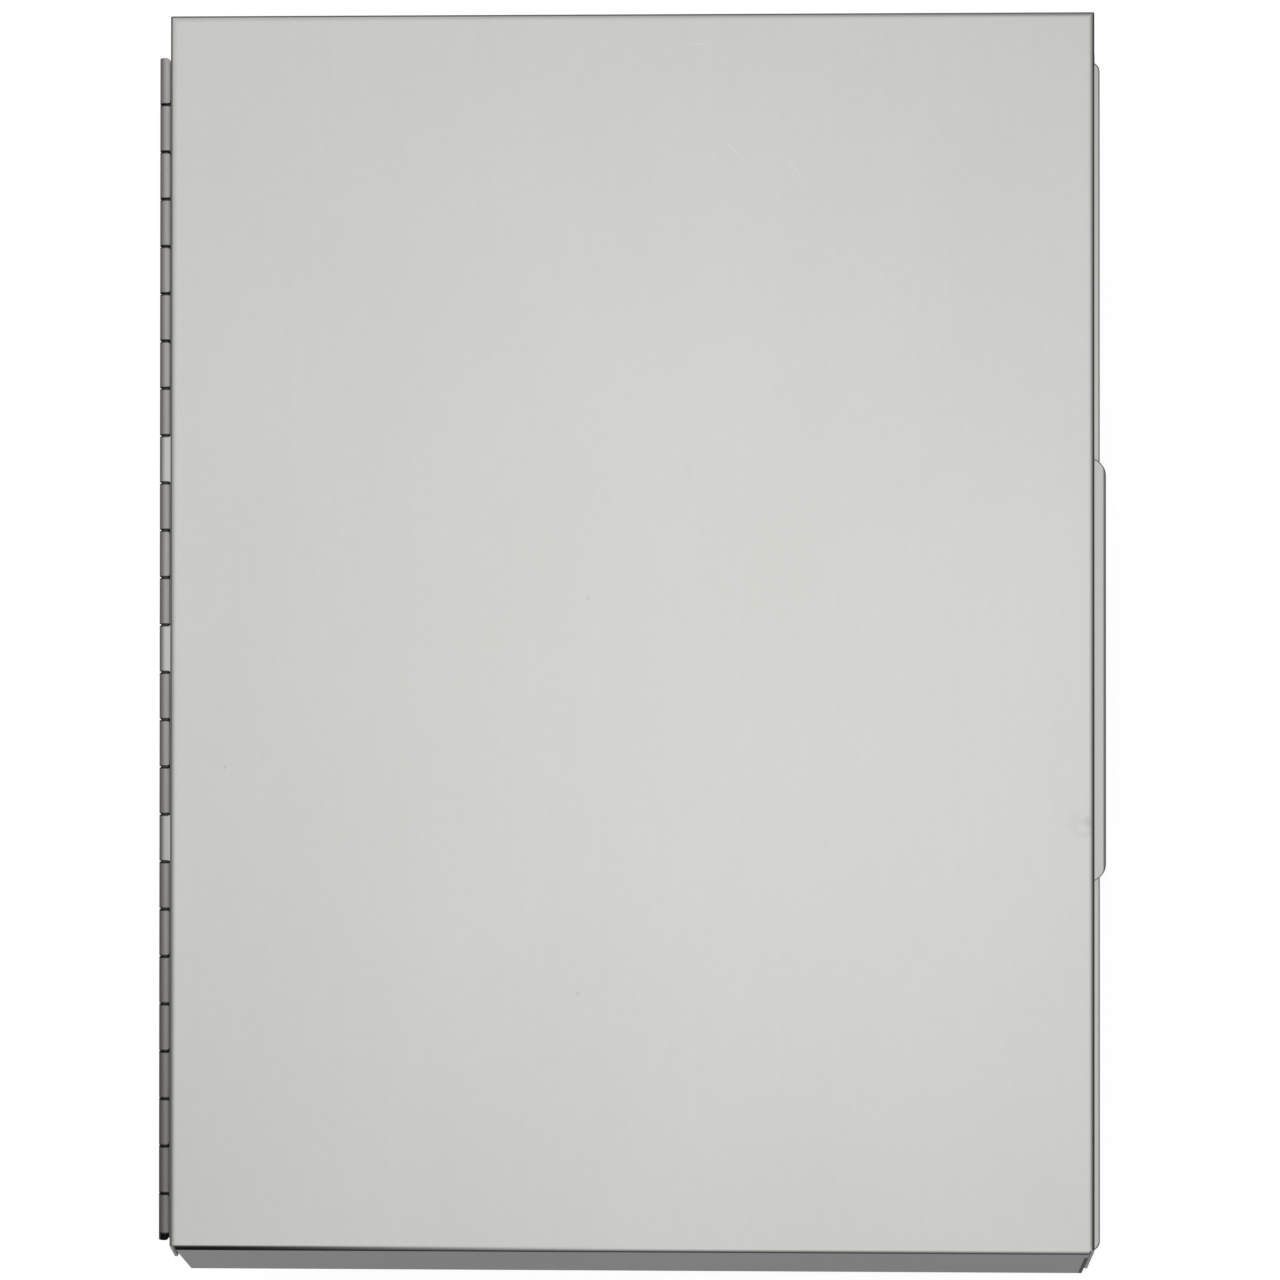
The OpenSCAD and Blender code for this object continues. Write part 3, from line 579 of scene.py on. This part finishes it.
# %% [markdown]
# ## The sheet finishes
# Tray, plate and cover are cut from the same stock, so one function makes all three finishes,
# from short steps. They differ in what happened to them: the cover's face has the marks above,
# the plate's knuckles stayed flat and bright, and the tray's underside is dulled by the desk.

# %% Tones laid over the sheet
WARMTH = 0.022  # of bare aluminium


def shade(finish, colour, mask, strength, tone, warmth=0.0):
    """Mixes a grey tone over a colour where the mask says."""
    return finish.mix(mask * strength, colour, grey(tone, warmth))


def handled_face(finish, place, surface, level):
    """Puts the marks of handling on a surface, which is its colour, gloss and relief."""
    colour, gloss, relief = surface
    smudge, speck, line = handling_marks(finish, place)
    colour = shade(finish, colour, smudge, 0.16, level * 0.80, WARMTH)
    colour = shade(finish, colour, speck, 0.30, level * 0.62, WARMTH)
    colour = shade(finish, colour, line, 0.30, level * 1.15)
    return colour, gloss + smudge * 0.10 - line * 0.08, relief - line * 1.2 - speck * 1.5


def curled_barrels(finish, place, colour, level, curl, red):
    """Puts painted light and shade on the barrels, and painted shade at the knuckles' ends."""
    barrel = near_pin(finish, place)
    tone = curl_tone(finish, place, *curl) * level
    tinted = finish.node("ShaderNodeCombineColor",
                         inputs={"Red": tone * red, "Green": tone, "Blue": tone * 0.98})
    colour = finish.mix(barrel, colour, tinted)
    return shade(finish, colour, barrel * knuckle_ends(finish, place), 0.92, 0.02)


# %% Folds, cut edges and underside
def cover_folds(finish, place, colour):
    """Puts painted shade on the cover's own folds: face rim, flange, bottom fold and slots."""
    colour = shade(finish, colour, face_rim(finish, place), 0.2, 0.1)
    colour = shade(finish, colour, on_flange(finish, place), 0.28, 0.004)
    colour = shade(finish, colour, bottom_fold(finish, place), 1.0, 0.004)
    return shade(finish, colour, end_slots(finish, place), 0.9, 0.03)


def cut_edges(finish, place, colour, level, outline):
    """Paints shade on the margin that stands out past the cover, and darker shade along its border.
    """
    low, high, corner, depth = outline
    x, _, _ = finish.parts(place)
    margin = x.ramp(COVER_RIGHT, COVER_RIGHT + 0.3 * MM)
    colour = shade(finish, colour, margin, 0.6, level * 0.74, WARMTH)
    return shade(finish, colour, border(finish, place, low, high, corner) * margin, depth, 0.02)


def underside_scuffs(finish, place):
    """1 where the desk has rubbed the underside, in short streaks."""
    _, _, z = finish.parts(place)
    _, _, nz = facing(finish)
    rubbed = finish.grain(place, (60, 420, 0), detail=4).ramp(0.5, 0.62)
    return nz.ramp(-0.3, -0.8) * z.ramp(2.2 * MM, 0.2 * MM) * rubbed


# %% Aluminium sheet
def aluminium_sheet(name, level, roughness, curl, marked=False, scuffed=False, outline=None,
                    dull_curl=True):
    """A satin sheet. The level is its brightness; curl goes to curl_tone, outline to cut_edges."""
    material, finish = new_material(name)
    place = place_in_object(finish)
    lines, streaks, clouds, mottle = rolled_grain(finish, place)
    tone = clouds * 0.6 + streaks * 0.12 + mottle * 0.2 + lines * 0.08
    colour = finish.mix(tone.ramp(0.30, 0.70), grey(level * 0.975, WARMTH * 1.3),
                        grey(level * 1.02, WARMTH * 0.8))
    gloss = roughness + (lines - 0.5) * 0.06 + (clouds - 0.5) * 0.03
    relief = lines * 0.7 + mottle * 0.3
    if marked:
        surface = (colour, gloss, relief)
        colour, gloss, relief = handled_face(finish, place, surface, level)
    # Painted shade darkens the folds.
    colour = shade(finish, colour, fold_lines(finish), fold_depth(finish), 0.01)
    # Painted light and shade on the barrels, and painted shade at the knuckles' ends and seams.
    colour = curled_barrels(finish, place, colour, level, curl, 1.03 if dull_curl else 1.0)
    if dull_curl:
        gloss = gloss + near_pin(finish, place) * (CURL_ROUGHNESS - roughness)
    if marked:
        colour = cover_folds(finish, place, colour)
    if outline:
        colour = cut_edges(finish, place, colour, level, outline)
    if scuffed:
        scuffs = underside_scuffs(finish, place)
        colour = shade(finish, colour, scuffs, 0.5, level * 0.78, WARMTH)
        gloss = gloss + scuffs * 0.12
    metal_output(finish, colour, gloss, relief, strength=0.25)
    return material


# Painted shade on the barrels' outer side, and painted light on their inner side.
CURLED = (0.36, 1.30, 1.9 * MM)  # outer tone, inner tone and where that is reached
cover_metal = aluminium_sheet("cover_satin", 0.69, 0.34, marked=True, curl=CURLED,
                              outline=(TAB_LOW, TAB_HIGH, TAB_CORNER, 0.6))
plate_metal = aluminium_sheet("plate_satin", 0.67, 0.34, curl=(0.30, 0.88, 0.0),
                              outline=(PLATE_LOW, PLATE_HIGH, PLATE_CORNER, 0.75),
                              dull_curl=False)
tray_metal = aluminium_sheet("tray_satin", 0.67, 0.45, curl=CURLED, scuffed=True)
print("sheet finishes:", [m.name for m in (cover_metal, plate_metal, tray_metal)])

# %% [markdown]
# ## Steel and rivets
# The clip is nickel-plated steel, drawn across its width and smoother than the sheet. The wire of
# the clip's springs is darker and straw coloured from tempering, and the latch's strip a little.
# The clip's rod is bright drawn wire, with fine draw lines along the wire, and the hinge's pin is
# the same wire, painted near black as the shade in the gaps between the knuckles. A rivet head
# keeps faint rings from the tool that formed it.

# %% Steel finishes
DRAWN_ALONG, DRAWN_ACROSS = 30, 4200  # how often a draw line changes, per metre each way
RIVET_MIDDLE = (0.5, 0.5, 0.5)  # in generated coordinates, which run from 0 to 1 over a piece


def drawn_steel(name, level, roughness, run, tempered=0.0):
    """Steel with fine lines along one axis: run is 0 for X, 1 for Y and 2 for Z."""
    material, finish = new_material(name)
    place = place_in_object(finish)
    scales = [DRAWN_ALONG if axis == run else DRAWN_ACROSS for axis in range(3)]
    lines = finish.grain(place, scales, detail=3)
    clouds = finish.grain(place, (120, 120, 120), detail=3)
    cool = (level * 0.97, level * 0.99, level * 1.03, 1.0)
    colour = finish.mix(clouds.ramp(0.3, 0.7), grey(level * 0.93, 0.01), cool)
    if tempered:
        straw = (level * 0.95, level * 0.78, level * 0.52, 1.0)
        colour = finish.mix(clouds.ramp(0.48, 0.72) * tempered, colour, straw)
    metal_output(finish, colour, roughness + (lines - 0.5) * 0.14, lines, strength=0.3)
    return material


def rivet_metal(name, level, roughness):
    """A formed head: rings round its middle, and small dents."""
    material, finish = new_material(name)
    generated = finish.node("ShaderNodeTexCoord", output="Generated")
    spread = finish.node("ShaderNodeVectorMath", {"operation": "DISTANCE"},
                         {0: generated, 1: RIVET_MIDDLE}, output="Value")
    rings = finish.noise(finish.vector(spread * 60))
    dents = finish.grain(place_in_object(finish), (1500, 1500, 1500), detail=3)
    colour = finish.mix(dents.ramp(0.35, 0.7), grey(level * 0.90, 0.01), grey(level * 1.05, 0.0))
    relief = rings * 0.6 + dents * 0.4
    metal_output(finish, colour, roughness + (rings - 0.5) * 0.2, relief, strength=0.35)
    return material


nickel = drawn_steel("clip_nickel", 0.60, 0.26, run=0)
# Painted shade: the pin is near black, so the gaps between the knuckles look shaded.
pin_wire = drawn_steel("pin_wire", 0.08, 0.34, run=1)
rod_wire = drawn_steel("rod_wire", 0.52, 0.24, run=0)
tempered_steel = drawn_steel("spring_temper", 0.40, 0.30, run=0, tempered=0.7)
latch_steel = drawn_steel("latch_temper", 0.42, 0.30, run=1, tempered=0.35)
rivet_finish = rivet_metal("rivet_upset", 0.64, 0.32)
print("materials:", len(bpy.data.materials))

# %% [markdown]
# ## Broken edges
# A sheared and deburred sheet has no perfectly sharp edge. The narrow rounding catches a thin
# line of light, and without it folded metal looks cut from paper. Each sheet is copied from its
# solid, its flat triangles are joined, and its hard edges get a small bevel. Weighted normals
# then keep the large faces flat up to that bevel.

# %% Copy a solid with broken edges
JOINED = 1e-6  # vertices closer than this are one
FLAT = math.radians(0.4)  # triangles that meet at less than this lie in one face
HARD = math.radians(50)  # an edge that turns by more than this gets a bevel


def broken_edges(node, material, width, name):
    """Puts a sheet or strip with bevelled edges in the place of its solid."""
    mesh = nodes[node].data.copy()
    mesh.materials.clear()
    mesh.materials.append(material)
    work = bmesh.new()
    work.from_mesh(mesh)
    bmesh.ops.remove_doubles(work, verts=work.verts, dist=JOINED)
    bmesh.ops.dissolve_limit(work, angle_limit=FLAT, verts=work.verts, edges=work.edges,
                             delimit=set())
    hard = [edge for edge in work.edges
            if len(edge.link_faces) == 2 and edge.calc_face_angle() > HARD]
    bmesh.ops.bevel(work, geom=hard, offset=width, segments=2, profile=0.5, affect="EDGES",
                    clamp_overlap=True)
    for face in work.faces:
        face.smooth = True
    bmesh.ops.triangulate(work, faces=[face for face in work.faces if len(face.verts) > 4])
    work.to_mesh(mesh)
    work.free()
    mesh.name = name
    # Marks left from the solid would overrule the weighted normals.
    for layer in ("custom_normal", "sharp_edge", "sharp_face"):
        if layer in mesh.attributes:
            mesh.attributes.remove(mesh.attributes[layer])
    piece = bpy.data.objects.new(name, mesh)
    scene.collection.objects.link(piece)
    weighted = piece.modifiers.new("weighted_normals", "WEIGHTED_NORMAL")
    weighted.keep_sharp = False
    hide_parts(node)
    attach(piece, nodes[node]["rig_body"])
    print(name, "hard edges:", len(hard), "faces:", len(mesh.polygons))


# %% Sheets, clip and latch
PAN_EDGE, PLATE_EDGE, CLIP_EDGE, LATCH_EDGE = 0.08 * MM, 0.25 * MM, 0.15 * MM, 0.06 * MM
broken_edges("cover", cover_metal, PAN_EDGE, "cover_sheet")
broken_edges("writing_plate", plate_metal, PLATE_EDGE, "writing_sheet")
broken_edges("storage_tray", tray_metal, PAN_EDGE, "tray_sheet")
broken_edges("clip_base", nickel, CLIP_EDGE, "clip_channel")
broken_edges("clip_jaw", nickel, CLIP_EDGE, "clip_lever")
broken_edges("latch_spring", latch_steel, LATCH_EDGE, "latch_strip")

# %% [markdown]
# ## Round wire
# The clip's springs are round wire. A curve with a round bevel shows that better than the
# eight-sided solids. Each one starts with a leg on the clip's base, winds round the rod, and ends
# with a leg under the lever. The places are measured from the rod's axis, as the spring maker
# would, and the box of the solid says where along the rod each spring sits.

# %% Springs
WIRE = 0.9 * MM
COIL_R = 2.3 * MM  # to the middle of the wire
HALF_TURNS = 9
PITCH = WIRE + 0.05 * MM
BASE_LEG = (8.1 * MM, -3.23 * MM)  # its far end: along the plate and up from the rod
LEVER_LEGS = ((6.5 * MM, 3.13 * MM), (9.2 * MM, 3.29 * MM))
STEPS = 18  # points in each half turn


def spring_points():
    """The wire's middle line, from the base's leg to the lever's: along the rod, y and z."""
    y, z = BASE_LEG
    points = [(0, y, z), (0, COIL_R + WIRE, z)]
    for step in range(HALF_TURNS * STEPS + 1):
        turned = math.pi * step / STEPS
        angle = -math.pi / 2 - turned
        along = PITCH * turned / (2 * math.pi)
        points.append((along, COIL_R * math.cos(angle), COIL_R * math.sin(angle)))
    end = HALF_TURNS / 2 * PITCH
    return points + [(end, y, z) for y, z in LEVER_LEGS]


def wind_spring(node, rod):
    """Puts round wire in the place of a spring's solid, in the middle of its box."""
    low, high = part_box(node)
    start = (low.x + high.x) / 2 - HALF_TURNS / 4 * PITCH
    wire = bpy.data.curves.new(node + "_wire", "CURVE")
    wire.dimensions = "3D"
    wire.bevel_depth = WIRE / 2
    wire.bevel_resolution = 4
    wire.use_fill_caps = True
    points = spring_points()
    line = wire.splines.new("POLY")
    line.points.add(len(points) - 1)
    for point, (along, y, z) in zip(line.points, points):
        point.co = (start + along, rod.y + y, rod.z + z, 1)
    wire.materials.append(tempered_steel)
    piece = bpy.data.objects.new(node + "_wire", wire)
    scene.collection.objects.link(piece)
    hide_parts(node)
    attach(piece, "plate")
    print(piece.name, "points:", len(points))


rod_low, rod_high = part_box("clip_rod")
for node in ("clip_spring_left", "clip_spring_right"):
    wind_spring(node, (rod_low + rod_high) / 2)

# %% [markdown]
# The rest keeps its solids as they are: the pin, the rod and the rivets are turned shapes, and
# only their finish was missing.

# %% Pins and rivets
nodes["hinge_pin"].data.materials[0] = pin_wire
nodes["clip_rod"].data.materials[0] = rod_wire
rivets = [name for name in nodes if "rivet" in name]
for name in rivets:
    nodes[name].data.materials[0] = rivet_finish
print("rivets:", len(rivets))
